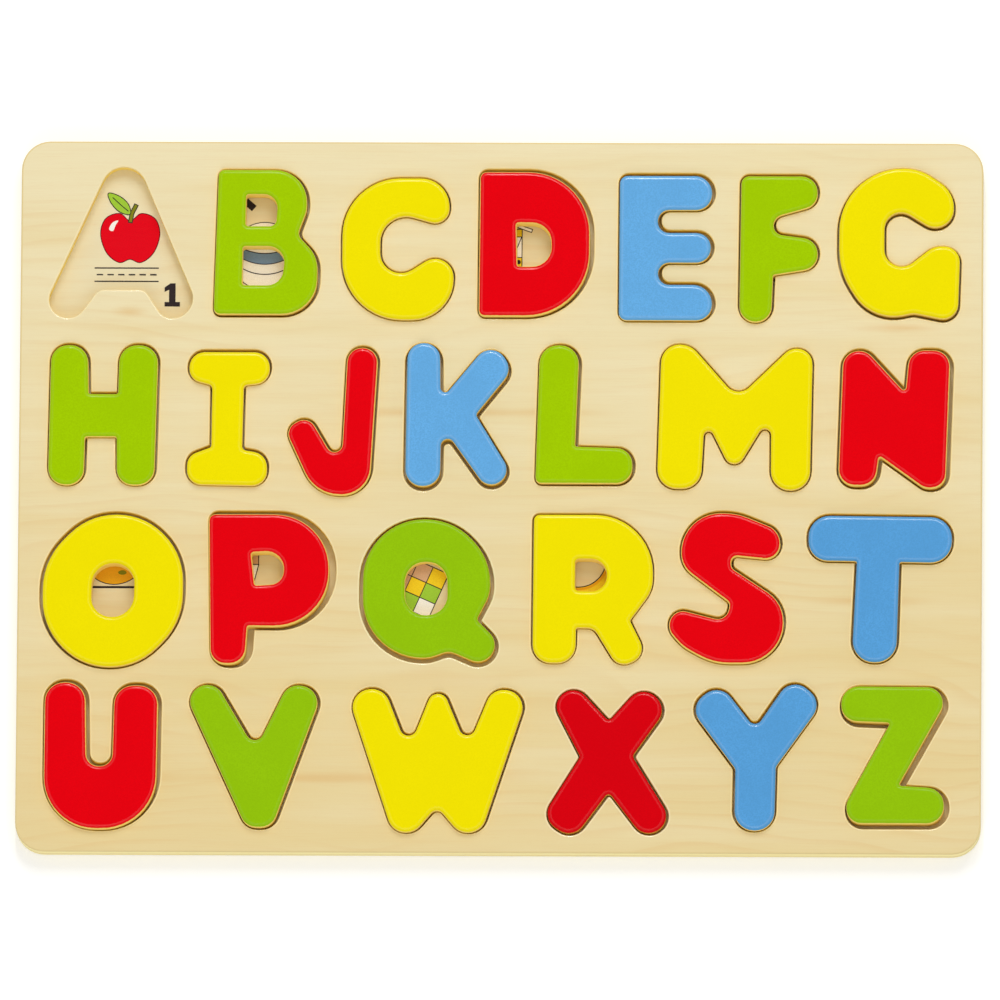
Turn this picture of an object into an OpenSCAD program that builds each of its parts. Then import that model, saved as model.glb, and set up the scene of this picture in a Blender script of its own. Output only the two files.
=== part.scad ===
// Wooden alphabet puzzle board: a base panel, a panel with letter-shaped pockets glued on it,
// and painted letter pieces that lie loose in the pockets. The first pocket stands empty.
// Origin at the middle of the underside. X runs left to right, Y up the board, Z out of it.

/* [Board] */
// Wood between the outermost letters and the left and right edges of the board
side_margin = 8; // [6.5:0.25:20]
// Wood between the outer rows of letters and the upper and lower edges of the board
end_margin = 8.25; // [7:0.25:20]
// Thickness of the base panel, whose top face is the floor of the pockets
base_t = 3; // [2:0.5:6]
// Thickness of the pocket panel, which is the depth of the pockets
panel_t = 5; // [4.5:0.5:8]
// Radius of the four corners of the board
corner_r = 9; // [3:0.5:12]

/* [Letters] */
// Height of a letter of full height
letter_h = 45; // [36:0.5:60]
// Mean gap between neighbours in the fullest row of letters
letter_gap = 8; // [6.5:0.25:20]
// Gap between two rows of letters
row_gap = 9; // [7.5:0.25:20]
// Diameter of a fully round end of a stroke, which the radii of all the corners follow
round_d = 12; // [9:0.5:14]
// How far a letter in its pocket stands proud of the board
letter_rise = 2.5; // [0.5:0.25:8]
// How far a letter that is cut from the thinner sheet stands proud of the board
thin_letter_rise = 0.25; // [0:0.05:2]
// Gap between a centred letter and the wall of its pocket, in a loose pocket
pocket_gap = 1; // [0.5:0.05:1.1]

/* [Hidden] */
// Largest distance between an arc and the straight steps that draw it
chord_gap = 0.04;
// Part of a side that the arcs at its two ends may take up
side_share = 0.98;

BOARD_COLOUR = [0.92, 0.85, 0.66];
GREEN = [0.63, 0.81, 0.04];
YELLOW = [0.95, 0.88, 0];
RED = [0.9, 0, 0.07];
BLUE = [0.39, 0.67, 0.89];

ROWS = ["abcdefg", "hijklmn", "opqrst", "uvwxyz"];
NAMES = [for (row = ROWS) each [for (k = [0 : len(row) - 1]) row[k]]];
PAINTS = [RED, GREEN, YELLOW, RED, BLUE, GREEN, YELLOW, GREEN, YELLOW, RED, BLUE, GREEN, YELLOW,
          RED, YELLOW, RED, GREEN, YELLOW, RED, BLUE, RED, GREEN, YELLOW, RED, BLUE, GREEN];
THIN = ["q", "x"];
EMPTY = ["a"];
PIECES = [for (i = [0 : len(NAMES) - 1]) if (!has(EMPTY, NAMES[i])) i];

// Each letter: the centre of its box across the lettering, as a share of the lettering's width, its
// rise from the middle of its row, and the box's width and height, as shares of the letter height
box_shares = [
    [0.082, -0.026, 0.956, 1.023], [0.2405, -0.026, 0.711, 1.011], [0.386, -0.071, 0.789, 0.989],
    [0.535, -0.036, 0.778, 1.011], [0.68, -0.061, 0.644, 1.011], [0.8025, -0.061, 0.522, 1.011],
    [0.9365, -0.026, 0.833, 1.033],
    [0.064, -0.041, 0.756, 0.978], [0.201, -0.061, 0.567, 0.944], [0.317, -0.081, 0.622, 1.033],
    [0.4515, -0.031, 0.7, 1], [0.592, -0.031, 0.667, 0.956], [0.7565, -0.051, 1.078, 1],
    [0.932, -0.051, 0.778, 0.978],
    [0.0765, -0.066, 0.978, 1.067], [0.247, -0.061, 0.856, 1.056], [0.4235, -0.056, 0.922, 1],
    [0.6025, -0.041, 0.844, 1.044], [0.7495, -0.046, 0.811, 1.056], [0.917, -0.041, 0.989, 1.022],
    [0.064, -0.026, 0.8, 1.033], [0.233, -0.016, 0.878, 0.989], [0.4335, -0.041, 1.178, 1],
    [0.619, -0.041, 0.833, 1.011], [0.783, -0.021, 0.833, 1.022], [0.933, -0.0035, 0.7, 0.967],
];

// Each pocket: its gap as a share of a loose pocket's, then how far it lies to the right of its
// letter and up from it, as shares of that gap, because the letters have slipped in their pockets
fit_shares = [
    [0.8, 0, 0], [0.6, 0.5, -0.15], [0.45, 0, 0.45], [0.85, 0.5, 0.4], [0.75, 0.45, 0.55],
    [0.6, 0.15, 0.65], [0.6, -0.1, -0.5],
    [0.55, 0.25, 0.7], [0.6, 0, 0.85], [0.55, 0.25, 0.7], [0.8, 0.1, -0.6], [0.65, 0.45, 0.15],
    [0.45, 0, 0.3], [0.9, 0.3, 0.1],
    [0.9, -0.15, 0.4], [1.15, 0.85, 0.2], [1.15, 0.05, -0.5], [0.45, -0.2, 0.65], [0.6, 0.15, 0.65],
    [0.65, 0, 0.4],
    [0.75, 0.45, 0.65], [0.65, 0.45, 0.2], [0.55, 0.35, 0.55], [0.6, 0.4, -0.4],
    [0.65, -0.25, 0.55], [1.05, 0.6, -0.45],
];

// Outlines, anticlockwise: each corner as shares of the box's width and height from its
// lower left, then its radius as a share of the diameter of a fully round end
outline_shares = [
    [[-0.065, 0, 0.42], [0.176, 0, 0.4], [0.329, 0.194, 0.32], [0.682, 0.194, 0.32],
     [0.817, 0, 0.35], [1.067, 0, 0.47], [0.519, 1.204, 0.525]],
    [[0, 0, 0.16], [1, 0, 0.92], [1.01, 0.4, 0.83], [0.81, 0.55, 0.25], [0.9, 0.72, 0.67],
     [0.9, 1, 0.83], [0.04, 1, 0.15]],
    [[0.012, -0.003, 1.6], [0.99, 0, 1.3], [0.99, 0.54, 0.58], [0.345, 0.205, 0.54],
     [0.345, 0.79, 0.67], [0.94, 0.655, 0.38], [0.965, 1, 0.75], [0.012, 1, 1.5]],
    [[0.015, 0, 0.15], [1, 0, 1.65], [1, 1, 1.6], [0.02, 1, 0.17]],
    [[0, 0, 0.2], [1, 0, 0.42], [1, 0.245, 0.5], [0.42, 0.245, 0.29], [0.42, 0.4, 0.29],
     [0.985, 0.4, 0.38], [0.985, 0.605, 0.38], [0.415, 0.605, 0.29], [0.415, 0.765, 0.29],
     [0.995, 0.765, 0.42], [0.995, 1, 0.45], [0.005, 1, 0.2]],
    [[0, -0.01, 0.42], [0.42, -0.01, 0.42], [0.445, 0.315, 0.05], [1.04, 0.365, 0.45],
     [1.03, 0.56, 0.45], [0.45, 0.6, 0.25], [0.45, 0.715, 0.28], [1.03, 0.8, 0.4],
     [1.03, 1, 0.42], [0.02, 1, 0.2]],
    [[0, 0.32, 1.9], [0.27, -0.03, 1.2], [0.62, 0.03, 0.4], [0.985, -0.03, 0.4],
     [1.005, 0.475, 0.4], [0.79, 0.487, 0.6], [0.375, 0.22, 0.45], [0.375, 0.8, 0.43],
     [0.94, 0.52, 0.5], [0.955, 0.85, 0.8], [0.66, 1.01, 1.3], [0, 1.01, 1.7]],
    [[0, 0, 0.44], [0.325, 0, 0.42], [0.335, 0.345, 0.06], [0.625, 0.345, 0.06], [0.63, 0, 0.42],
     [0.97, 0, 0.44], [1, 1, 0.46], [0.645, 1, 0.46], [0.635, 0.65, 0.06], [0.365, 0.65, 0.06],
     [0.355, 1, 0.46], [0.02, 1, 0.44]],
    [[0, 0.01, 0.38], [0.975, 0, 0.38], [0.985, 0.235, 0.4], [0.675, 0.265, 0.12],
     [0.69, 0.745, 0.1], [1, 0.765, 0.4], [1.01, 0.99, 0.4], [0.03, 0.99, 0.4], [0.02, 0.79, 0.35],
     [0.305, 0.745, 0.12], [0.3, 0.285, 0.06], [0.01, 0.22, 0.35]],
    [[0.3, 0, 1], [0.9, 0, 0.75], [0.995, 1, 0.4], [0.65, 1, 0.4], [0.585, 0.17, 0.2],
     [0.22, 0.54, 0.33], [-0.045, 0.45, 0.33]],
    [[0, 0, 0.44], [0.345, 0, 0.44], [0.35, 0.43, 0.18], [0.83, -0.04, 0.38], [1.04, 0.1, 0.38],
     [0.69, 0.5, 0.12], [1.05, 0.815, 0.42], [0.85, 1.03, 0.42], [0.345, 0.6, 0.12],
     [0.335, 1, 0.42], [0.015, 1, 0.42]],
    [[-0.005, 0, 0.15], [1, 0, 0.42], [1, 0.255, 0.42], [0.405, 0.268, 0.06], [0.445, 1.01, 0.48],
     [0.035, 1.01, 0.48]],
    [[0.005, 0.01, 0.5], [0.285, 0.01, 0.5], [0.31, 0.51, 0.13], [0.495, 0.11, 0.26],
     [0.735, 0.54, 0.16], [0.735, 0, 0.5], [0.985, 0, 0.5], [1, 0.985, 0.42], [0.855, 0.99, 0.45],
     [0.52, 0.64, 0.39], [0.215, 1.015, 0.6], [0.03, 1.015, 0.5]],
    [[0, 0.02, 0.42], [0.33, 0.02, 0.42], [0.365, 0.232, 0.05], [0.77, 0, 0.4], [0.955, 0.01, 0.38],
     [0.995, 0.99, 0.42], [0.63, 0.99, 0.42], [0.595, 0.685, 0.06], [0.25, 0.985, 0.42],
     [0.04, 0.985, 0.42]],
    [[0.005, 0.26, 1.85], [0.288, 0, 1.85], [0.676, 0, 1.85], [0.995, 0.293, 1.85],
     [0.995, 0.74, 1.85], [0.717, 0.995, 1.85], [0.33, 0.995, 1.85], [0.005, 0.697, 1.85]],
    [[0.035, 0.01, 0.4], [0.315, 0.01, 0.42], [0.335, 0.26, 0.05], [0.99, 0.255, 1.42],
     [0.99, 1, 1.42], [0.015, 1, 0.17]],
    [[0, 0.03, 1.65], [0.5, 0.03, 0.8], [0.65, 0.08, 0.4], [0.9, -0.02, 0.45], [1.035, 0.13, 0.45],
     [0.855, 0.3, 0.12], [0.955, 0.48, 0.9], [0.955, 0.72, 1.6], [0.675, 1, 1.7], [0, 1, 1.65]],
    [[0.01, 0, 0.48], [0.36, 0, 0.48], [0.365, 0.235, 0.05], [0.51, 0.235, 0.3], [0.715, -0.035, 0.38],
     [0.945, 0.055, 0.38], [0.805, 0.285, 0.06], [0.99, 0.49, 0.9], [0.995, 0.99, 1.5],
     [0.015, 0.99, 0.15]],
    [[0.39, 0.008, 1.6], [0.98, 0.012, 1.1], [0.985, 0.41, 0.95], [0.535, 0.64, 0.17],
     [0.535, 0.722, 0.15], [0.95, 0.69, 0.42], [0.952, 0.887, 0.55], [0.58, 1.003, 1.6],
     [0.1, 1.003, 1.05], [0.11, 0.65, 0.7], [0.525, 0.41, 0.15], [0.5, 0.285, 0.3],
     [0.02, 0.378, 0.4], [0.005, 0.226, 0.45], [0.125, 0.118, 1.2]],
    [[0.305, 0, 0.55], [0.615, 0, 0.55], [0.635, 0.685, 0.05], [1, 0.68, 0.55], [1, 0.99, 0.55],
     [0, 1, 0.55], [0, 0.695, 0.5], [0.338, 0.69, 0.05]],
    [[0.015, 0.01, 1.35], [0.985, 0.01, 1.4], [1, 0.98, 0.5], [0.62, 0.98, 0.5], [0.605, 0.435, 0.32],
     [0.385, 0.435, 0.32], [0.37, 1, 0.5], [0.02, 1, 0.5]],
    [[0.44, -0.005, 0.42], [0.645, -0.005, 0.42], [1.04, 0.965, 0.45], [0.765, 1.01, 0.45],
     [0.51, 0.54, 0.23], [0.195, 1.01, 0.45], [-0.065, 0.965, 0.45]],
    [[0.24, -0.005, 0.5], [0.37, -0.005, 0.5], [0.5, 0.175, 0.2], [0.63, -0.005, 0.5],
     [0.76, -0.005, 0.5], [1.03, 0.965, 0.45], [0.82, 1, 0.45], [0.675, 0.58, 0.21],
     [0.5, 1.075, 0.26], [0.33, 0.565, 0.22], [0.185, 1, 0.5], [-0.035, 0.975, 0.5]],
    [[-0.04, 0.105, 0.45], [0.222, -0.04, 0.45], [0.515, 0.288, 0.1], [0.822, -0.04, 0.45],
     [1.04, 0.095, 0.45], [0.71, 0.535, 0.15], [1, 0.87, 0.45], [0.79, 1.03, 0.45],
     [0.515, 0.775, 0.1], [0.23, 1.03, 0.43], [0.045, 0.905, 0.43], [0.28, 0.53, 0.12]],
    [[0.318, 0.005, 0.5], [0.648, 0.005, 0.5], [0.66, 0.44, 0.2], [1.043, 0.878, 0.45],
     [0.79, 1.058, 0.45], [0.487, 0.697, 0.19], [0.19, 1.01, 0.45], [-0.06, 0.845, 0.45],
     [0.325, 0.425, 0.2]],
    [[0.04, 0.012, 0.38], [1, 0.012, 0.45], [0.99, 0.265, 0.45], [0.546, 0.285, 0.05],
     [1.01, 0.89, 0.4], [0.9, 0.995, 0.4], [-0.02, 1, 0.45], [-0.02, 0.75, 0.42],
     [0.465, 0.737, 0.05], [0.035, 0.16, 0.38]],
];

// Openings through a letter, by name, measured as the outlines are
counter_shares = [
    ["b", [[0.305, 0.61, 0.07], [0.6, 0.61, 0.17], [0.62, 0.83, 0.35], [0.31, 0.83, 0.07]]],
    ["b", [[0.275, 0.2, 0.07], [0.66, 0.2, 0.42], [0.7, 0.47, 0.42], [0.28, 0.47, 0.07]]],
    ["d", [[0.355, 0.345, 0.06], [0.66, 0.345, 0.5], [0.65, 0.645, 0.5], [0.345, 0.645, 0.06]]],
    ["o", [[0.345, 0.325, 0.55], [0.645, 0.325, 0.6], [0.655, 0.675, 0.55], [0.355, 0.675, 0.6]]],
    ["p", [[0.39, 0.53, 0.06], [0.61, 0.54, 0.35], [0.635, 0.76, 0.45], [0.36, 0.745, 0.06]]],
    ["q", [[0.315, 0.33, 0.52], [0.635, 0.33, 0.52], [0.63, 0.7, 0.52], [0.315, 0.7, 0.52]]],
    ["r", [[0.355, 0.48, 0.1], [0.6, 0.475, 0.4], [0.63, 0.695, 0.42], [0.355, 0.695, 0.1]]],
];

function has(list, item) = len([for (entry = list) if (entry == item) entry]) > 0;
function letter_node(i) = str("letter_", NAMES[i]);
function total(list) = list * [for (entry = list) 1];
function around(list, i) = list[(i + len(list)) % len(list)];

// A closed outline's side that leaves corner i: its length, its direction and the way out of it
function side_length(points, i) = norm(around(points, i + 1) - around(points, i));
function side_way(points, i) = (around(points, i + 1) - around(points, i)) / side_length(points, i);
function side_out(points, i) = let (way = side_way(points, i)) [way.y, -way.x];

// Angle turned at corner i, positive where the outline bulges
function bend(points, i) =
    let (before = side_way(points, i - 1), after = side_way(points, i))
    atan2(cross(before, after), before * after);

// Length that the arc at corner i takes from each of its two sides
function reach(points, radii, i) = around(radii, i) * abs(tan(bend(points, i) / 2));

// Share of their radii that the arcs at both ends of side i can have
function room(points, radii, i) =
    let (wanted = reach(points, radii, i) + reach(points, radii, i + 1))
    min(1, side_share * side_length(points, i) / wanted);
function fitted(points, radii) = [
    for (i = [0 : len(points) - 1])
        radii[i] * min(room(points, radii, i - 1), room(points, radii, i))
];

// Angle of one straight step along an arc of radius r
function arc_step(r) = 2 * acos(max(0, 1 - chord_gap / r));

// The arc at corner i, with both of the corner's sides moved outward by grow
function arc(points, radii, i, grow) =
    let (
        out_before = side_out(points, i - 1),
        out_after = side_out(points, i),
        tip = points[i] + grow * (out_before + out_after) / (1 + out_before * out_after),
        angle = bend(points, i),
        sense = sign(angle),
        r = max(0, radii[i] + sense * grow),
        start = tip - r * abs(tan(angle / 2)) * side_way(points, i - 1),
        centre = start - sense * r * out_before,
        first = atan2(sense * out_before.y, sense * out_before.x),
        steps = r > chord_gap ? ceil(abs(angle) / arc_step(r)) : 0
    )
    steps == 0 ? [tip] : [
        for (k = [0 : steps])
            let (turned = first + angle * k / steps)
            centre + r * [cos(turned), sin(turned)]
    ];

// A closed outline with its corners rounded, moved outward by grow
function rounded(points, radii, grow = 0) =
    let (radii_used = fitted(points, radii))
    [for (i = [0 : len(points) - 1]) each arc(points, radii_used, i, grow)];
function moved(points, offset) = [for (point = points) point + offset];

// The lettering: letters stand in rows from the top, and the fullest row sets its width
function row_of(i) = [for (r = [0 : len(ROWS) - 1]) if (len(search(NAMES[i], ROWS[r])) > 0) r][0];
function row_w(r) =
    letter_h * total([for (i = [0 : len(NAMES) - 1]) if (row_of(i) == r) box_shares[i][2]])
    + letter_gap * (len(ROWS[r]) - 1);
lettering_w = max([for (r = [0 : len(ROWS) - 1]) row_w(r)]);
lettering_d = len(ROWS) * letter_h + (len(ROWS) - 1) * row_gap;
board_w = lettering_w + 2 * side_margin;
board_d = lettering_d + 2 * end_margin;

// How large a letter's box is, and where its centre and its lower left corner are
function box_size(i) = letter_h * [box_shares[i][2], box_shares[i][3]];
function row_middle(i) = (lettering_d - letter_h) / 2 - row_of(i) * (letter_h + row_gap);
function box_centre(i) =
    [(box_shares[i][0] - 0.5) * lettering_w, row_middle(i) + box_shares[i][1] * letter_h];
function box_corner(i) = box_centre(i) - box_size(i) / 2;

// A letter's loop on the board, from its table of corners
function letter_loop(shares, i, grow = 0) =
    let (size = box_size(i))
    moved(rounded([for (corner = shares) [corner[0] * size.x, corner[1] * size.y]],
                  [for (corner = shares) corner[2] * round_d], grow),
          box_corner(i));
function letter_loops(i) = concat(
    [letter_loop(outline_shares[i], i)],
    [for (entry = counter_shares) if (entry[0] == NAMES[i]) letter_loop(entry[1], i)]
);

// A pocket's loop: the letter's outline, widened by the gap and moved by the letter's drift
function gap(i) = pocket_gap * fit_shares[i][0];
function drift(i) = gap(i) * [fit_shares[i][1], fit_shares[i][2]];
function pocket_loop(i) = moved(letter_loop(outline_shares[i], i, gap(i)), drift(i));

// The edge of the board
board_corners = [[-board_w, -board_d], [board_w, -board_d], [board_w, board_d], [-board_w, board_d]] / 2;
board_loop = rounded(board_corners, [for (corner = board_corners) corner_r]);

// Index numbers of each loop's points in the joined list of all the loops' points
function loop_paths(loops, first = 0, i = 0) =
    i == len(loops) ? [] : concat(
        [[for (k = [0 : len(loops[i]) - 1]) first + k]],
        loop_paths(loops, first + len(loops[i]), i + 1)
    );

// A sheet of even thickness: the first loop is its edge, and the others are cut through it
module sheet(loops, thickness) {
    linear_extrude(thickness)
        polygon([for (loop = loops) each loop], loop_paths(loops));
}

module base_panel() {
    color(BOARD_COLOUR)
        sheet([board_loop], base_t);
}

module pocket_panel() {
    color(BOARD_COLOUR)
        translate([0, 0, base_t])
            sheet(concat([board_loop], [for (i = [0 : len(NAMES) - 1]) pocket_loop(i)]), panel_t);
}

module letter(i) {
    color(PAINTS[i])
        translate([0, 0, base_t])
            sheet(letter_loops(i), panel_t + (has(THIN, NAMES[i]) ? thin_letter_rise : letter_rise));
}

base_panel();
pocket_panel();
for (i = PIECES) letter(i);
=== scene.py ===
"""Looks of a wooden alphabet puzzle board: two panels of birch plywood with letter-shaped pockets,
painted letters that lie loose in them, and small prints on the floors of the pockets."""

import math

import bmesh
import bpy
from mathutils import Matrix, Vector
from mathutils.geometry import delaunay_2d_cdt


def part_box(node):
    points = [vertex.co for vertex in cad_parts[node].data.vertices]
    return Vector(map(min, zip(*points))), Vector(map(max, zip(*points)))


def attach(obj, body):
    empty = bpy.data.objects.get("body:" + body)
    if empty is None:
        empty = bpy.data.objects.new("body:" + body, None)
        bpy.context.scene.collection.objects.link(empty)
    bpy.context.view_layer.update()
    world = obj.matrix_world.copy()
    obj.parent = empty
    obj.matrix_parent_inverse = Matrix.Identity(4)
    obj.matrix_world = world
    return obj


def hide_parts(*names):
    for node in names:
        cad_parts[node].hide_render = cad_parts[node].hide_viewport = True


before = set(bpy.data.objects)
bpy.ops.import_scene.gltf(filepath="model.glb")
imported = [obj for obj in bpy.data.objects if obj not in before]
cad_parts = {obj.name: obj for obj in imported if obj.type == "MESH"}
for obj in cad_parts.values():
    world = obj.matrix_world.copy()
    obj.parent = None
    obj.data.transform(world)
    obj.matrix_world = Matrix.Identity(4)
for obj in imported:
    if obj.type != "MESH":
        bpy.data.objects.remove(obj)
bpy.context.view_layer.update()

MM = 0.001

# Rounded edges, in metres
LETTER_EASE = 1.2 * MM
LETTER_FOOT_EASE = 0.3 * MM
RIM_EASE = 0.5 * MM
PANEL_FOOT_EASE = 0.2 * MM
BASE_EASE = 0.15 * MM
BASE_FOOT_EASE = 0.5 * MM
EASE_STEPS = 8
# The upper steps of a rounded edge are its shoulder, which has a finish of its own
SHOULDER_STEPS = 2

# Order of a sheet's materials
TOP, BOTTOM, SHOULDER, SIDE, OPENING_SHOULDER, OPENING_SIDE = range(6)
# The way of filling an outline that leaves its holes open
INSIDE_WITH_HOLES = 2
# Points of an outline that lie closer than this are one point
WELD = 0.001 * MM
# Edges that bend by more than this look sharp
SHARP_BEND = math.radians(40)

# Heights of the board's two upper faces
FLOOR_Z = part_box("base_panel")[1].z
BOARD_TOP_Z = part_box("pocket_panel")[1].z

# A print's patches of ink lie on each other within this height, and the letters lie on top of it
INK_ROOM = 0.15 * MM
# Width of a drawn line, in mm
INK_LINE = 0.28

# The camera: where it stands, seen from the middle of the board, and how it is turned about its own axis
CAMERA_AZIMUTH = math.radians(10.1)
CAMERA_ELEVATION = math.radians(80.8)
CAMERA_ROLL = math.radians(-9.8)
CAMERA_DISTANCE = 7.75
CAMERA_AIM = Vector((0, -1 * MM, BOARD_TOP_Z))
CAMERA_LENS = 898
CAMERA_SENSOR = 36

# Lamps: name, azimuth and elevation in degrees, distance, width and height in metres, and power in watts.
# Three upright strips stand beyond the board's upper edge, and the front lamp lights the walls that face
# the camera
LAMPS = (
    ("key", -3, 52, 2.4, 0.15, 1.2, 12),
    ("key_right", 14, 52, 2.4, 0.15, 1.2, 4),
    ("side", 31, 52, 2.4, 0.15, 1.2, 4),
    ("front", 184, 42, 2.4, 1.2, 1.2, 11),
)
# Even light from all round
FILL_STRENGTH = 0.605
FLOOR_HALF_WIDTH = 3
FLOOR_DROP = 0.05 * MM
FLOOR_COLOUR = (0.88, 0.88, 0.88, 1)
# How much whiter the floor looks than it is lit
FLOOR_GLOW = 0.24


def rgb(red, green, blue):
    """A colour given as screen values from 0 to 255, as the linear colour that sockets take."""
    def linear(value):
        share = value / 255
        return share / 12.92 if share <= 0.04045 else ((share + 0.055) / 1.055) ** 2.4
    return (linear(red), linear(green), linear(blue), 1)


def shaded(colour, factor):
    """A colour made darker or lighter by a factor."""
    return tuple(min(1, factor * channel) for channel in colour[:3]) + (1,)


# Colours
BIRCH_PALE = rgb(238, 224, 180)
BIRCH_TAN = rgb(231, 209, 151)
BIRCH_STREAK = rgb(222, 182, 116)
FLOOR_PALE = rgb(234, 223, 184)
FLOOR_TAN = rgb(226, 210, 164)
RIM_PALE = rgb(254, 240, 204)
POCKET_RIM = rgb(246, 230, 180)
CUT_PALE = rgb(255, 232, 130)
CUT_DARK = rgb(250, 206, 88)
SIDE_PALE = rgb(255, 245, 180)
SIDE_DARK = rgb(255, 230, 160)
# Paints: the colour, the bare rim below it, how far down the sanded edge it reaches in mm, how strongly
# it is mottled, and how much its rounded shoulder shines
PAINTS = {
    "green": (rgb(162, 203, 0), CUT_PALE, 1.4, 0.05, 0.18),
    "yellow": (rgb(244, 228, 0), CUT_PALE, 1.5, 0.02, 0.3),
    "red": (rgb(232, 0, 14), RIM_PALE, 1.15, 0.04, 0.4),
    "blue": (rgb(102, 172, 226), CUT_PALE, 1.8, 0.08, 0.8),
    # Painted shade: darker copies of the green, red and blue paints, for letters of the lower two rows
    "shaded_green": (rgb(148, 196, 10), CUT_PALE, 1.4, 0.05, 0.18),
    "shaded_red": (rgb(217, 0, 14), RIM_PALE, 1.7, 0.04, 0.3),
    "shaded_blue": (rgb(88, 160, 217), CUT_PALE, 1.8, 0.08, 0.8),
}
LETTER_PAINTS = {
    "green": "bfhl",
    "yellow": "cgimorw",
    "red": "djnpsu",
    "blue": "ek",
    # letters of the lower two rows, painted in shade
    "shaded_green": "qvz",
    "shaded_red": "x",
    "shaded_blue": "ty",
}
INKS = {
    "black": rgb(52, 44, 46),
    "white": rgb(246, 242, 232),
    "red": rgb(226, 10, 28),
    "dark_red": rgb(104, 12, 26),
    "green": rgb(158, 200, 60),
    "olive": rgb(128, 130, 30),
    "yellow": rgb(240, 204, 40),
    "orange": rgb(232, 168, 36),
    "blue_grey": rgb(120, 146, 176),
    "tan": rgb(214, 170, 130),
}

# Sizes of the figure of birch veneer, along its grain, across it and through it
SWAY_SIZE = (150 * MM, 60 * MM, 1)
FADE_SIZE = (70 * MM, 30 * MM, 1)
BAND_SIZE = (160 * MM, 14 * MM, 1)
STREAK_SIZE = (38 * MM, 1.8 * MM, 1)
FIBRE_SIZE = (18 * MM, 0.45 * MM, 1)
PORE_SIZE = (3 * MM, 0.2 * MM, 1)
WANDER_SIZE = (40 * MM, 14 * MM, 1)
RING_PITCH = 6 * MM
# Painted light: the veneer turns from pale to warm and darker between this far above and this far below the
# board's middle, paler towards the lamps
PAINTED_FALLOFF_REACH = 110 * MM
# Cut plies: two plies together, how they wander, and the marks of the saw
PLY_PAIR = 2 * MM
PLY_WOBBLE = 0.4 * MM
PLY_WOBBLE_SIZE = (30 * MM, 30 * MM, 1)
SCORCH_SIZE = (2.5 * MM, 2.5 * MM, 0.8 * MM)
# Where a sanded rim turns into cut plies, and how softly paint ends on an edge, in mm down from the face
RIM_END_START = 0.6
RIM_END = 1.2
PAINT_END_FADE = 0.3
PAINT_END_SIZE = (0.9 * MM, 0.9 * MM, 2 * MM)
RIM_FIBRE_SIZE = (6 * MM, 0.4 * MM, 1)
PAINT_GRAIN = 0.45 * MM
PAINT_CLOUD = 14 * MM
INK_FIBRE_SIZE = (9 * MM, 0.4 * MM, 1)
INK_GRAIN = 0.25 * MM
# Heights of the fine relief
VENEER_BUMP = 0.03 * MM
RIM_BUMP = 0.01 * MM
CUT_BUMP = 0.02 * MM
PAINT_BUMP = 0.012 * MM
INK_BUMP = 0.01 * MM

# Warm streaks in the board's veneer: the middle, half the length and half the width, in mm
STREAKS = (
    ((-15, 26.5), 62, 2.6),
    ((112, -32.5), 34, 2.6),
    ((-60, -88.5), 92, 2.8),
    ((126, 53.5), 20, 2.2),
    ((-116, 58), 8, 2.6),
)


def tree_node(tree, kind, inputs=None, **settings):
    """A shader node with its settings, and with each input set to a value or linked to a socket."""
    made = tree.nodes.new("ShaderNode" + kind)
    for name, value in settings.items():
        setattr(made, name, value)
    for key, value in (inputs or {}).items():
        if isinstance(value, bpy.types.NodeSocket):
            tree.links.new(value, made.inputs[key])
        else:
            made.inputs[key].default_value = value
    return made


def calculate(tree, operation, *values):
    return tree_node(tree, "Math", dict(enumerate(values)), operation=operation).outputs[0]


def smooth_range(tree, value, low, high, start=0.0, end=1.0):
    """A smooth step of a value, from start at low to end at high."""
    inputs = {"Value": value, "From Min": low, "From Max": high, "To Min": start, "To Max": end}
    made = tree_node(tree, "MapRange", inputs, interpolation_type="SMOOTHSTEP")
    return made.outputs["Result"]


def mix(tree, share, first, second):
    """A mix of two colours."""
    inputs = {0: share, 6: first, 7: second}
    return tree_node(tree, "Mix", inputs, data_type="RGBA").outputs[2]


def noise(tree, place, scale=1.0, detail=2.0, roughness=0.5):
    inputs = {"Vector": place, "Scale": scale, "Detail": detail, "Roughness": roughness}
    return tree_node(tree, "TexNoise", inputs).outputs["Fac"]


def stretched(tree, place, sizes, shift=(0, 0, 0)):
    """A place measured in lengths of its own along each axis, so that noise there has that size."""
    scale = tuple(1 / size for size in sizes)
    inputs = {"Vector": place, "Location": shift, "Scale": scale}
    return tree_node(tree, "Mapping", inputs).outputs["Vector"]


def attribute(tree, name):
    return tree_node(tree, "Attribute", attribute_name=name).outputs["Fac"]


def new_material(name, roughness, specular):
    """A material with its node tree, its shader and the object's own coordinates."""
    material = bpy.data.materials.new(name)
    material.use_nodes = True
    tree = material.node_tree
    shader = tree.nodes["Principled BSDF"]
    shader.inputs["Roughness"].default_value = roughness
    shader.inputs["Specular IOR Level"].default_value = specular
    place = tree_node(tree, "TexCoord").outputs["Object"]
    return material, tree, shader, place


def set_colour(tree, shader, colour):
    tree.links.new(colour, shader.inputs["Base Color"])


def set_bump(tree, shader, height, distance):
    made = tree_node(tree, "Bump", {"Height": height, "Distance": distance})
    tree.links.new(made.outputs["Normal"], shader.inputs["Normal"])


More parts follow.
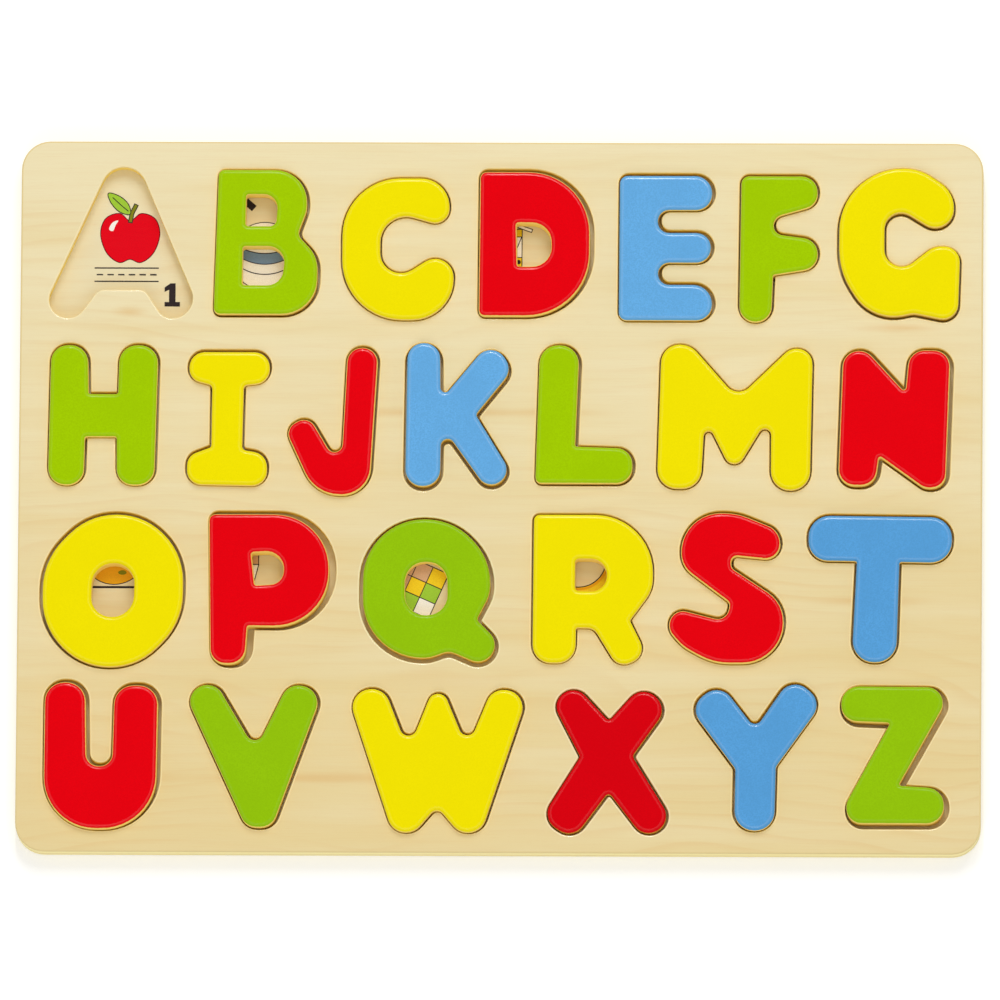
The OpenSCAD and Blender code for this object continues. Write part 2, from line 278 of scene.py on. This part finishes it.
def birch_figure(tree, place, pale, tan, shift):
    """Colour and height of birch veneer whose grain runs along X. Painted light: it is paler towards +Y,
    where the lamps stand, and warmer and darker towards -Y.
    """
    across = tree_node(tree, "SeparateXYZ", {"Vector": place}).outputs["Y"]
    # painted light: paler towards +Y, warmer and darker towards -Y
    painted_falloff = smooth_range(tree, across, PAINTED_FALLOFF_REACH, -PAINTED_FALLOFF_REACH)
    sway = noise(tree, stretched(tree, place, SWAY_SIZE, shift), detail=2)
    rings = calculate(tree, "MULTIPLY_ADD", sway, 9, calculate(tree, "DIVIDE", across, RING_PITCH))
    ring = calculate(tree, "FRACT", rings)
    line = calculate(
        tree, "MULTIPLY", smooth_range(tree, ring, 0.5, 0.9), smooth_range(tree, ring, 0.9, 1, 1, 0)
    )
    fade = noise(tree, stretched(tree, place, FADE_SIZE, shift), detail=1)
    fade = calculate(tree, "MULTIPLY_ADD", painted_falloff, 0.16, fade)
    line = calculate(tree, "MULTIPLY", line, smooth_range(tree, fade, 0.45, 0.8, 0.02, 0.22))
    bands = noise(tree, stretched(tree, place, BAND_SIZE, shift), detail=3, roughness=0.6)
    bands = calculate(tree, "MULTIPLY_ADD", painted_falloff, 0.4, bands)
    streaks = noise(tree, stretched(tree, place, STREAK_SIZE, shift), detail=2)
    fibres = noise(tree, stretched(tree, place, FIBRE_SIZE, shift), detail=3, roughness=0.65)
    pores = noise(tree, stretched(tree, place, PORE_SIZE, shift), detail=1)
    colour = mix(tree, smooth_range(tree, bands, 0.35, 1.05), pale, tan)
    colour = mix(tree, line, colour, BIRCH_STREAK)
    colour = mix(tree, smooth_range(tree, streaks, 0.45, 0.75, 0, 0.07), colour, BIRCH_STREAK)
    colour = mix(tree, smooth_range(tree, fibres, 0.45, 0.75, 0, 0.12), colour, BIRCH_STREAK)
    colour = mix(tree, smooth_range(tree, pores, 0.66, 0.78, 0, 0.2), colour, BIRCH_STREAK)
    height = calculate(tree, "MULTIPLY_ADD", pores, -0.4, fibres)
    return colour, height


def streaked(tree, place, colour):
    """Veneer with the warm streaks laid over it."""
    wander = noise(tree, stretched(tree, place, WANDER_SIZE), detail=3)
    for (x, y), half_length, half_width in STREAKS:
        sizes = (half_length * MM, half_width * MM, 1)
        shift = (-x / half_length, -y / half_width, 0)
        near = stretched(tree, place, sizes, shift)
        flat = tree_node(tree, "VectorMath", {0: near, 1: (1, 1, 0)}, operation="MULTIPLY").outputs[0]
        away = tree_node(tree, "VectorMath", {0: flat}, operation="LENGTH").outputs["Value"]
        away = calculate(tree, "MULTIPLY_ADD", wander, 1.2, away)
        colour = mix(tree, smooth_range(tree, away, 0.5, 1.5, 0.55, 0), colour, BIRCH_STREAK)
    return colour


def veneer_material(name, pale, tan, shift=(0, 0, 0), with_streaks=False):
    """A face of birch veneer."""
    material, tree, shader, place = new_material(name, roughness=0.5, specular=0.25)
    face, height = birch_figure(tree, place, pale, tan, shift)
    if with_streaks:
        face = streaked(tree, place, face)
    set_colour(tree, shader, face)
    set_bump(tree, shader, height, VENEER_BUMP)
    return material


def cut_plies(tree, place, pale, dark):
    """Colour of a cut through the plies of plywood, with scorch marks."""
    height = tree_node(tree, "SeparateXYZ", {"Vector": place}).outputs["Z"]
    wobble = noise(tree, stretched(tree, place, PLY_WOBBLE_SIZE), detail=1)
    ply = calculate(tree, "MULTIPLY_ADD", wobble, PLY_WOBBLE, height)
    layer = calculate(tree, "SINE", calculate(tree, "MULTIPLY", ply, 2 * math.pi / PLY_PAIR))
    scorch = noise(tree, stretched(tree, place, SCORCH_SIZE), detail=3)
    cut = mix(tree, smooth_range(tree, layer, -0.3, 0.3, 0.1, 0.5), pale, dark)
    return mix(tree, smooth_range(tree, scorch, 0.45, 0.75, 0, 0.5), cut, dark), scorch


def rim_material(name, colour):
    """A sanded and lacquered shoulder of bare wood."""
    material, tree, shader, place = new_material(name, roughness=0.18, specular=0.8)
    fibres = noise(tree, stretched(tree, place, RIM_FIBRE_SIZE), detail=3)
    set_colour(tree, shader, mix(tree, smooth_range(tree, fibres, 0.4, 0.8, 0, 0.4), colour, CUT_PALE))
    set_bump(tree, shader, fibres, RIM_BUMP)
    return material


def edge_material(name, rim, pale, dark, coat=None, coat_reach=0.0):
    """A sanded edge of plywood: the colour of its rim, plies below, and paint on its upper part."""
    material, tree, shader, place = new_material(name, roughness=0.6, specular=0.1)
    depth = attribute(tree, "depth")
    plies, scorch = cut_plies(tree, place, pale, dark)
    colour = mix(tree, smooth_range(tree, depth, RIM_END_START, RIM_END), rim, plies)
    if coat:
        ragged = noise(tree, stretched(tree, place, PAINT_END_SIZE), detail=3)
        border = calculate(tree, "MULTIPLY_ADD", ragged, -PAINT_END_FADE, depth)
        bare = smooth_range(tree, border, coat_reach - PAINT_END_FADE, coat_reach)
        colour = mix(tree, bare, coat, colour)
    set_colour(tree, shader, colour)
    set_bump(tree, shader, scorch, CUT_BUMP)
    return material


def paint_material(name, paint, mottling, roughness, specular):
    """Paint with a fine grain and faint clouds."""
    material, tree, shader, place = new_material(name, roughness, specular)
    grain = noise(tree, place, 1 / PAINT_GRAIN, detail=2)
    clouds = noise(tree, place, 1 / PAINT_CLOUD, detail=2)
    dark, light = shaded(paint, 1 - mottling), shaded(paint, 1 + mottling)
    coat = mix(tree, smooth_range(tree, grain, 0.3, 0.7), dark, light)
    coat = mix(tree, smooth_range(tree, clouds, 0.35, 0.7, 0, 0.5), coat, dark)
    set_colour(tree, shader, coat)
    set_bump(tree, shader, grain, PAINT_BUMP)
    return material


def ink_material(name, ink):
    """Thin printing ink that lets a little of the wood's fibres through."""
    material, tree, shader, place = new_material(name, roughness=0.6, specular=0.02)
    fibres = noise(tree, stretched(tree, place, INK_FIBRE_SIZE), detail=3)
    grains = noise(tree, place, 1 / INK_GRAIN, detail=1)
    colour = mix(tree, smooth_range(tree, grains, 0.3, 0.7), shaded(ink, 0.94), shaded(ink, 1.06))
    colour = mix(tree, smooth_range(tree, fibres, 0.5, 0.75, 0, 0.005), colour, FLOOR_TAN)
    set_colour(tree, shader, colour)
    set_bump(tree, shader, fibres, INK_BUMP)
    return material


def length_round(loop):
    return sum((point - loop[i - 1]).length for i, point in enumerate(loop))


def outlines(node):
    """The closed outlines of a CAD sheet's upper face, the longest first, each with the wood on its left."""
    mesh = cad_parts[node].data
    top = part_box(node)[1].z
    sides = set()
    for face in mesh.polygons:
        corners = [mesh.vertices[i].co for i in face.vertices]
        if min(corner.z for corner in corners) > top - WELD:
            points = [(round(c.x / WELD), round(c.y / WELD)) for c in corners]
            sides.update(zip(points, points[1:] + points[:1]))
    following = {start: end for start, end in sides if (end, start) not in sides}
    loops = []
    while following:
        loop = [min(following)]
        while (point := following.pop(loop[-1])) != loop[0]:
            loop.append(point)
        loops.append([Vector(point) * WELD for point in loop])
    return sorted(loops, key=length_round, reverse=True)


def left_of(start, end):
    """The direction square to a side, to its left."""
    way = (end - start).normalized()
    return Vector((-way.y, way.x))


def crossing(first, second, third, fourth):
    """Where the line through the first two points meets the line through the other two."""
    way, other = second - first, fourth - third
    share = (third - first).cross(other) / way.cross(other)
    return first + share * way


def inset(loop, depth):
    """An outline moved to its left. Where an arc is tighter than the move, its sides just meet."""
    count = len(loop)
    moved = []
    for i, point in enumerate(loop):
        before = left_of(loop[i - 1], point)
        after = left_of(point, loop[(i + 1) % count])
        moved.append(point + depth * (before + after) / (1 + before.dot(after)))
    following = moved[1:] + moved[:1]
    ways = [end - start for start, end in zip(loop, loop[1:] + loop[:1])]
    turned = [(b - a).dot(way) <= 0 for a, b, way in zip(moved, following, ways)]
    met = list(moved)
    for i in range(count):
        if turned[i] and not turned[i - 1]:
            last = i
            while turned[last % count]:
                last += 1
            ends = [moved[k % count] for k in (i - 1, i, last, last + 1)]
            for k in range(i, last + 1):
                met[k % count] = crossing(*ends)
    return met


def fill(bm, rings):
    """Triangles across a flat face inside its outer ring and outside its inner rings."""
    corners = []
    borders = []
    for ring in rings:
        borders.append(range(len(corners), len(corners) + len(ring)))
        corners += ring
    flat = [vertex.co.xy for vertex in corners]
    _, _, triangles, origins, _, _ = delaunay_2d_cdt(flat, [], borders, INSIDE_WITH_HOLES, WELD)
    return [bm.faces.new([corners[origins[i][0]] for i in triangle]) for triangle in triangles]


def walls(bm, upper, lower):
    """Faces between two rings of corners, the upper one above the lower one."""
    count = len(upper)
    return [bm.faces.new((upper[i - 1], lower[i - 1], lower[i], upper[i])) for i in range(count)]


def finished_object(name, bm, materials):
    """An object of a welded mesh with its faces turned outwards."""
    bmesh.ops.remove_doubles(bm, verts=bm.verts, dist=WELD)
    bmesh.ops.recalc_face_normals(bm, faces=bm.faces)
    mesh = bpy.data.meshes.new(name)
    bm.to_mesh(mesh)
    bm.free()
    mesh.set_sharp_from_angle(angle=SHARP_BEND)
    for material in materials:
        mesh.materials.append(material)
    piece = bpy.data.objects.new(name, mesh)
    bpy.context.scene.collection.objects.link(piece)
    return piece


def eased_profile(bottom, top, ease, foot_ease):
    """The edge of a sheet, from its top face down to its bottom face, as insets and heights."""
    turns = [math.pi / 2 * k / EASE_STEPS for k in range(EASE_STEPS + 1)]
    upper = [(ease * (1 - math.sin(a)), top - ease * (1 - math.cos(a))) for a in turns]
    lower = [(foot_ease * (1 - math.cos(a)), bottom + foot_ease * (1 - math.sin(a))) for a in turns]
    return upper + lower


def eased_sheet(name, loops, profile, materials):
    """A closed sheet with rounded edges, whose depth attribute is the way down from its top face, in mm.
    The materials are those of its top, its bottom, the shoulder and the side of its edge, and the
    shoulders and sides of its openings."""
    bm = bmesh.new()
    depth_layer = bm.verts.layers.float.new("depth")
    top_rings = []
    bottom_rings = []
    for loop in loops:
        rings = []
        depth = 0
        for k, (push, height) in enumerate(profile):
            if k > 0:
                depth += math.dist(profile[k - 1], profile[k]) / MM
            ring = [bm.verts.new((*point, height)) for point in inset(loop, push)]
            for vertex in ring:
                vertex[depth_layer] = depth
            rings.append(ring)
        shoulder, side = (OPENING_SHOULDER, OPENING_SIDE) if top_rings else (SHOULDER, SIDE)
        for k, (upper, lower) in enumerate(zip(rings, rings[1:])):
            for face in walls(bm, upper, lower):
                face.smooth = True
                face.material_index = shoulder if k < SHOULDER_STEPS else side
        top_rings.append(rings[0])
        bottom_rings.append(rings[-1])
    for face in fill(bm, top_rings):
        face.material_index = TOP
    for face in fill(bm, bottom_rings):
        face.material_index = BOTTOM
    return finished_object(name, bm, materials)


def make_panels():
    """The two panels of the board, with rounded rims."""
    floor_wood = veneer_material("floor_birch", FLOOR_PALE, FLOOR_TAN, (3.1, 1.7, 0))
    face_wood = veneer_material("face_birch", BIRCH_PALE, BIRCH_TAN, (0.4, 0.9, 0), with_streaks=True)
    side_wood = edge_material("side_plies", BIRCH_TAN, SIDE_PALE, SIDE_DARK)
    rim_wood = rim_material("pocket_rim", POCKET_RIM)
    pocket_wood = edge_material("pocket_plies", POCKET_RIM, CUT_PALE, CUT_DARK)
    for node, wood, ease, foot_ease in (
        ("base_panel", floor_wood, BASE_EASE, BASE_FOOT_EASE),
        ("pocket_panel", face_wood, RIM_EASE, PANEL_FOOT_EASE),
    ):
        low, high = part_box(node)
        profile = eased_profile(low.z, high.z, ease, foot_ease)
        materials = [wood, wood, side_wood, side_wood, rim_wood, pocket_wood]
        panel = eased_sheet(node + "_plywood", outlines(node), profile, materials)
        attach(panel, "board")
        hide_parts(node)


def make_letters():
    """The painted letters, each on its own body."""
    back_wood = veneer_material("letter_back_birch", BIRCH_PALE, BIRCH_TAN)
    for paint, letters in LETTER_PAINTS.items():
        colour, rim, reach, mottling, shine = PAINTS[paint]
        coat = paint_material("paint_" + paint, colour, mottling, roughness=0.5, specular=0.02)
        gloss = paint_material("shoulder_" + paint, colour, mottling, roughness=0.2, specular=shine)
        side = edge_material("side_" + paint, rim, CUT_PALE, CUT_DARK, colour, reach)
        materials = [coat, back_wood, gloss, side, gloss, side]
        for letter in letters:
            node = "letter_" + letter
            low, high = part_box(node)
            profile = eased_profile(low.z + INK_ROOM, high.z, LETTER_EASE, LETTER_FOOT_EASE)
            piece = eased_sheet(node + "_painted", outlines(node), profile, materials)
            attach(piece, node)
            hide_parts(node)


# Shapes that the prints are drawn with, in mm


def points_of(pairs):
    return [Vector(pair) for pair in pairs]


def disc(x, y, radius, height=None):
    """The outline of a disc, or of an ellipse where a height is given as well."""
    count = 48
    tall = radius if height is None else height
    turns = [2 * math.pi * k / count for k in range(count)]
    return points_of((x + radius * math.cos(a), y + tall * math.sin(a)) for a in turns)


def bar(left, bottom, right, top):
    return points_of([(left, bottom), (right, bottom), (right, top), (left, top)])


def arc(x, y, radius, start, end):
    """Points along an arc, between two angles in degrees."""
    count = 24
    turns = [math.radians(start + (end - start) * k / count) for k in range(count + 1)]
    return [(x + radius * math.cos(a), y + radius * math.sin(a)) for a in turns]


def hoop(radius, width):
    """The outer and the inner outline of a flat hoop."""
    return disc(0, 0, radius + width / 2), disc(0, 0, radius - width / 2)


def rounded(pairs):
    """A closed smooth outline through a few points."""
    steps = 8
    points = points_of(pairs)
    count = len(points)
    outline = []
    for i in range(count):
        before, start, end, after = (points[(i + k) % count] for k in (-1, 0, 1, 2))
        bend = 2 * before - 5 * start + 4 * end - after
        twist = 3 * start - before - 3 * end + after
        for step in range(steps):
            t = step / steps
            outline.append(start + 0.5 * t * (end - before + t * (bend + t * twist)))
    return outline


def mirrored(half):
    """The points round a figure from those of its right half, given from the top down."""
    return half + [(-x, y) for x, y in half[-2:0:-1]]


def stroke(pairs, width=INK_LINE):
    """The outline of a line of one width through a few points."""
    points = points_of(pairs)
    normals = [left_of(start, end) for start, end in zip(points, points[1:])]
    befores = normals[:1] + normals
    afters = normals + normals[-1:]
    pushes = [width / 2 * (a + b) / (1 + a.dot(b)) for a, b in zip(befores, afters)]
    right_side = [point - push for point, push in zip(points, pushes)]
    left_side = [point + push for point, push in zip(points, pushes)]
    return right_side + left_side[::-1]


def grown(outline):
    """An outline moved outwards by the width of a line."""
    area = sum(outline[i - 1].cross(point) for i, point in enumerate(outline))
    return inset(outline, math.copysign(INK_LINE, -area))


def lined(ink, outline, line="black"):
    """A patch of ink with a line round it."""
    return [(line, grown(outline)), (ink, outline)]


# Pictures of plain things: patches of ink, each over the ones before it


def apple():
    half = [(0, 4.6), (3.4, 7), (7.6, 5.4), (9.1, 0.6), (7.2, -5.2), (3.4, -8.2), (0, -7.2)]
    blade = [(-0.2, 7), (-3.4, 7.8), (-6, 10.6), (-6.8, 13.4), (-3.4, 12.4), (-0.8, 10)]
    return [
        *lined("red", rounded(mirrored(half)), "dark_red"),
        ("white", rounded([(-6.6, 2.2), (-5.6, 4.2), (-3.8, 4.9), (-4.6, 3.4), (-5.4, 1.6)])),
        *lined("olive", stroke([(0, 4.4), (0.5, 7.2), (1.8, 9.8)], 0.9)),
        *lined("green", rounded(blade)),
        ("black", stroke([(-0.6, 7.8), (-3, 9.8), (-5.6, 12.2)])),
    ]


def ruled_line():
    """A line to write on, in the space below a picture."""
    half_length, half_height, width, dashes = 10, 2.1, 0.4, 6
    heights = (-half_height, half_height)
    patches = [("black", stroke([(-half_length, y), (half_length, y)], width)) for y in heights]
    pitch = 2 * half_length / dashes
    for k in range(dashes):
        left = -half_length + (k + 0.2) * pitch
        patches.append(("black", stroke([(left, 0), (left + 0.6 * pitch, 0)], width)))
    return patches


def number_one():
    foot = [(-1, -2.2), (-2.4, -2.2), (-2.4, -3.6), (2.4, -3.6), (2.4, -2.2), (1, -2.2)]
    return [("black", points_of(foot + [(1, 3.7), (-0.6, 3.7), (-2.4, 2.4), (-2.4, 1), (-1, 1.7)]))]


def ball():
    return [
        ("black", stroke([(-8, 19), (-3.4, 15)], 2.2)),
        *lined("white", disc(0, 0, 10.5)),
        ("blue_grey", points_of(arc(0, 12, 14.6, 226, 314) + arc(0, 17, 16.2, 308, 232))),
        ("black", stroke(arc(0, 12, 14.6, 226, 314))),
        ("black", stroke(arc(0, 17, 16.2, 232, 308))),
        ("black", stroke(arc(0, 8, 13.8, 226, 314))),
    ]


def cup():
    return [
        ("black", stroke(arc(3, 0.4, 1.8, -90, 90), 0.9)),
        *lined("blue_grey", points_of([(-3.4, 3), (-2.4, -3.6), (2.4, -3.6), (3.4, 3)])),
        *lined("white", disc(0, 3, 3.4, 0.9)),
    ]


def drum():
    lacing = [(-6.5 + 2.6 * k, 3.2 if k % 2 else -3.2) for k in range(6)]
    return [
        *lined("white", stroke([(1, 8.2), (9.6, 5.2)], 0.7)),
        *lined("white", bar(-6.5, -6, 6.5, 5.5)),
        ("black", stroke(lacing)),
        *lined("yellow", bar(-6.5, -6, 6.5, -3.4)),
        *lined("yellow", bar(-6.5, 3.4, 6.5, 5.5)),
        ("black", disc(5.6, -4.7, 0.7)),
    ]


def egg():
    half = [(0, 5), (2.4, 3), (3.6, -0.8), (2.4, -3.8), (0, -4.6)]
    return [*lined("white", rounded(mirrored(half))), ("yellow", stroke(arc(0, 6, 7, 245, 295), 1.2))]


def fish():
    return [
        *lined("orange", points_of([(2.4, 0), (4.6, 2.2), (4.6, -2.2)])),
        *lined("orange", disc(-0.8, 0, 3.8, 2.4)),
        ("black", disc(-2.8, 0.6, 0.4)),
        ("black", stroke(arc(-3.4, 0, 2, -55, 55))),
    ]


def grapes():
    patches = [("olive", stroke([(0, 2.6), (0.4, 5)], 0.8))]
    for row in range(3):
        for k in range(3 - row):
            patches += lined("blue_grey", disc(2.7 * (k - (2 - row) / 2), 2 - 2.4 * row, 1.4))
    return patches


def house():
    return [
        *lined("white", bar(-3, -4.2, 3, 0.8)),
        *lined("red", points_of([(-4.2, 0.8), (4.2, 0.8), (0, 4.6)])),
        *lined("blue_grey", bar(-0.9, -4.2, 0.9, -1.2)),
    ]


def lolly():
    return [
        *lined("tan", bar(-0.5, -6.4, 0.5, -2)),
        *lined("red", points_of([(-2.2, -2.4), (2.2, -2.4)] + arc(0, 3.2, 2.2, 0, 180))),
        ("white", bar(-1.3, -0.8, -0.7, 3.2)),
    ]


def jar():
    return [
        *lined("white", rounded([(-2.8, -4), (2.8, -4), (3, 0), (2, 3), (-2, 3), (-3, 0)])),
        *lined("orange", bar(-2.6, -3.2, 2.6, 0.2)),
        *lined("red", bar(-2.2, 3, 2.2, 4.4)),
    ]


def kite():
    return [
        ("black", stroke([(0, -3.4), (1.2, -5), (-0.8, -6.4), (0.6, -8)])),
        *lined("yellow", points_of([(0, 5.4), (-3.4, 1.6), (0, -3.8), (3.4, 1.6)])),
        ("red", points_of([(0, 5.4), (0, 1.6), (3.4, 1.6)])),
        ("red", points_of([(0, -3.8), (0, 1.6), (-3.4, 1.6)])),
    ]


def leaf():
    half = [(0, 6), (2.8, 2.4), (3.2, -1.4), (0, -4.6)]
    veins = [("black", stroke([(0, y), (1.9 * side, y + 1.5)])) for y in (-2.4, 0.2) for side in (-1, 1)]
    return [*lined("green", rounded(mirrored(half))), ("black", stroke([(0, -6.4), (0, 4)])), *veins]


def moon():
    return lined("yellow", points_of(arc(0, 0, 4.2, 60, 300) + arc(2.3, 0, 3.65, 255, 105)))


def nut():
    half = [(0, 0.6), (2.8, 0.4), (2.4, -2.6), (0, -5)]
    return [
        ("black", stroke([(0, 2.6), (0.5, 4.6)], 0.8)),
        *lined("tan", rounded(mirrored(half))),
        *lined("olive", points_of(arc(0, 0.2, 3.4, 0, 180))),
    ]


def orange():
    return [
        ("black", stroke([(-8, -11), (8, -11)], 0.7)),
        *lined("orange", disc(0, 0, 10)),
        ("yellow", disc(-3.4, 3.6, 2, 1.4)),
        ("olive", disc(2.6, -6.4, 1.3, 0.7)),
        *lined("green", rounded([(0, 7.6), (3.6, 8.6), (6.6, 6.6), (3.2, 5.8)])),
    ]


def pencil():
    return [
        *lined("tan", bar(-2.4, -3, 2.4, 7)),
        ("orange", bar(-0.8, -3, 0.8, 7)),
        *lined("red", bar(-2.4, 7, 2.4, 9)),
        *lined("white", points_of([(-2.4, -3), (0.6, -10), (2.4, -3)])),
        ("black", points_of([(-0.3, -7.9), (0.6, -10), (1.14, -7.9)])),
    ]


def quilt():
    size = 5
    turn = Matrix.Rotation(math.radians(-24), 2)
    colours = (("red", "green", "white"), ("tan", "yellow", "green"), ("tan", "tan", "yellow"))
    patches = []
    for row, inks in enumerate(colours):
        for column, ink in enumerate(inks):
            corner = Vector((column - 1.5, row - 1.5)) * size
            square = [turn @ (corner + size * step) for step in bar(0, 0, 1, 1)]
            patches += lined(ink, square)
    for y in (-7.2, -5.6, -4):
        stripe = [turn @ Vector((x, y)) for x in (-7.5, -2.5)]
        patches.append(("white", stroke(stripe, 0.6)))
    return patches


def ring():
    return [
        ("black", *hoop(10.2, 3.6)),
        ("yellow", *hoop(10.2, 2.9)),
        ("orange", *hoop(9.2, 0.7)),
    ]


def sun():
    ways = [Vector((math.cos(a), math.sin(a))) for a in (math.pi / 4 * k for k in range(8))]
    rays = [("orange", stroke([3.1 * way, 4.7 * way], 0.7)) for way in ways]
    return [*rays, *lined("yellow", disc(0, 0, 2.5))]


def tree():
    crown = [(0, 5.2), (2.6, 4.2), (3.8, 1.4), (2.6, -1.2), (0, -1.8)]
    return [*lined("tan", bar(-0.7, -5.2, 0.7, -1)), *lined("green", rounded(mirrored(crown)))]


def umbrella():
    scallops = [point for x in (2.8, 0, -2.8) for point in arc(x, -1.4, 1.98, 45, 135)[:-1]]
    return [
        ("black", stroke([(0, 4.8)] + arc(1, -3.4, 1, 180, 360), 0.5)),
        *lined("red", points_of(scallops + arc(0, 0, 4.2, 180, 0)[:-1])),
    ]


def vase():
    half = [(0, 5), (1.8, 5), (1.3, 3), (3, -0.6), (1.6, -4.6), (0, -4.6)]
    return [*lined("blue_grey", rounded(mirrored(half))), ("white", stroke([(-2.4, -0.6), (2.4, -0.6)], 0.9))]


def wheel():
    ways = [Vector((math.cos(a), math.sin(a))) for a in (math.pi / 3 * k for k in range(3))]
    return [
        ("black", *hoop(3.9, 1.1)),
        *(("tan", stroke([-3.6 * way, 3.6 * way], 0.6)) for way in ways),
        *lined("red", disc(0, 0, 1.1)),
    ]


def chime_bars():
    inks = ("red", "orange", "yellow", "green", "blue_grey")
    patches = []
    for k, ink in enumerate(inks):
        half_height = 4.6 - 0.5 * k
        left = -5 + 2.1 * k
        patches += lined(ink, bar(left, -half_height, left + 1.4, half_height))
    return patches


def yarn():
    threads = [("dark_red", stroke(arc(0, -6 + shift, 7, 62, 118))) for shift in (1.2, 2.8, 4.2)]
    return [*lined("red", disc(0, 0, 4), "dark_red"), *threads]


def zigzag():
    return [("black", stroke([(-7, 2), (-4, 6), (-2, -1), (1.4, 4), (3.4, -3.4), (6.4, -2)], 1.5))]


# Where each print lies on the pocket floors, in mm
PRINTS = (
    ((-116, 82.7), apple),
    ((-117, 70.5), ruled_line),
    ((-102.7, 64.1), number_one),
    ((-74, 76.5), ball),
    ((-43, 77.5), cup),
    ((-0.5, 79.5), drum),
    ((43, 78.5), egg),
    ((80, 71.5), fish),
    ((112, 78.5), grapes),
    ((-135, 25.5), house),
    ((-84.6, 24.5), lolly),
    ((-44, 27.5), jar),
    ((-24, 26.5), kite),
    ((16.5, 27.5), leaf),
    ((55, 19.5), moon),
    ((111, 21.5), nut),
    ((-120, -17), orange),
    ((-77.6, -17.9), pencil),
    ((-26, -27.5), quilt),
    ((24.4, -19), ring),
    ((61, -20.5), sun),
    ((118, -32.5), tree),
    ((-135, -78.5), umbrella),
    ((-76, -92.5), vase),
    ((-31, -92.5), wheel),
    ((34, -83), chime_bars),
    ((80, -94.5), yarn),
    ((121, -81.5), zigzag),
)


def make_prints():
    """The prints on the floors of the pockets."""
    inks = {name: ink_material("ink_" + name, ink) for name, ink in INKS.items()}
    for place, picture in PRINTS:
        patches = picture()
        used = sorted({patch[0] for patch in patches})
        bm = bmesh.new()
        for level, (ink, *loops) in enumerate(patches, start=1):
            top = FLOOR_Z + INK_ROOM * level / (len(patches) + 1)
            spots = [[(Vector(place) + point) * MM for point in loop] for loop in loops]
            upper = [[bm.verts.new((*spot, top)) for spot in loop] for loop in spots]
            lower = [[bm.verts.new((*spot, FLOOR_Z)) for spot in loop] for loop in spots]
            sides = [face for rings in zip(upper, lower) for face in walls(bm, *rings)]
            for face in sides + fill(bm, upper) + fill(bm, lower):
                face.material_index = used.index(ink)
        piece = finished_object("print_" + picture.__name__, bm, [inks[ink] for ink in used])
        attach(piece, "board")


def direction(azimuth, elevation):
    """The way from the board to a light or to the camera: azimuth is counted from +Y towards +X."""
    flat = math.cos(elevation)
    return Vector((math.sin(azimuth) * flat, math.cos(azimuth) * flat, math.sin(elevation)))


def make_camera():
    back = direction(math.pi - CAMERA_AZIMUTH, CAMERA_ELEVATION)
    data = bpy.data.cameras.new("camera")
    data.lens = CAMERA_LENS
    data.sensor_width = CAMERA_SENSOR
    data.clip_end = 2 * CAMERA_DISTANCE
    camera = bpy.data.objects.new("camera", data)
    camera.location = CAMERA_AIM + back * CAMERA_DISTANCE
    upright = back.to_track_quat("Z", "Y").to_matrix()
    camera.rotation_euler = (upright @ Matrix.Rotation(CAMERA_ROLL, 3, "Z")).to_euler()
    bpy.context.scene.collection.objects.link(camera)
    bpy.context.scene.camera = camera


def make_lamps():
    for name, azimuth, elevation, distance, width, height, power in LAMPS:
        data = bpy.data.lights.new(name, "AREA")
        data.shape = "RECTANGLE"
        data.size = width
        data.size_y = height
        data.energy = power
        lamp = bpy.data.objects.new(name, data)
        way = direction(math.radians(azimuth), math.radians(elevation))
        lamp.location = way * distance
        lamp.rotation_euler = way.to_track_quat("Z", "Y").to_euler()
        bpy.context.scene.collection.objects.link(lamp)


def seen_directly(tree):
    """1 for what the camera sees, also in a reflection or through glass, and 0 for light on the object."""
    path = tree_node(tree, "LightPath").outputs
    seen = calculate(tree, "MAXIMUM", path["Is Camera Ray"], path["Is Glossy Ray"])
    return calculate(tree, "MAXIMUM", seen, path["Is Transmission Ray"])


def make_surroundings():
    """Soft light from all round, a white background and a pale floor that keeps the shadow."""
    world = bpy.data.worlds.new("studio")
    bpy.context.scene.world = world
    world.use_nodes = True
    tree = world.node_tree
    background = tree.nodes["Background"]
    background.inputs["Color"].default_value = (1, 1, 1, 1)
    strength = smooth_range(tree, seen_directly(tree), 0, 1, FILL_STRENGTH, 1)
    tree.links.new(strength, background.inputs["Strength"])

    mesh = bpy.data.meshes.new("floor")
    span = FLOOR_HALF_WIDTH
    corners = [(-span, -span), (span, -span), (span, span), (-span, span)]
    mesh.from_pydata([(x, y, -FLOOR_DROP) for x, y in corners], [], [(0, 1, 2, 3)])
    material, tree, shader, _ = new_material("floor_paper", roughness=0.9, specular=0)
    shader.inputs["Base Color"].default_value = FLOOR_COLOUR
    shader.inputs["Emission Color"].default_value = (1, 1, 1, 1)
    glow = smooth_range(tree, seen_directly(tree), 0, 1, 0, FLOOR_GLOW)
    tree.links.new(glow, shader.inputs["Emission Strength"])
    mesh.materials.append(material)
    floor = bpy.data.objects.new("floor", mesh)
    bpy.context.scene.collection.objects.link(floor)


make_camera()
make_lamps()
make_surroundings()
make_panels()
make_letters()
make_prints()
bpy.context.scene.view_settings.view_transform = "Standard"
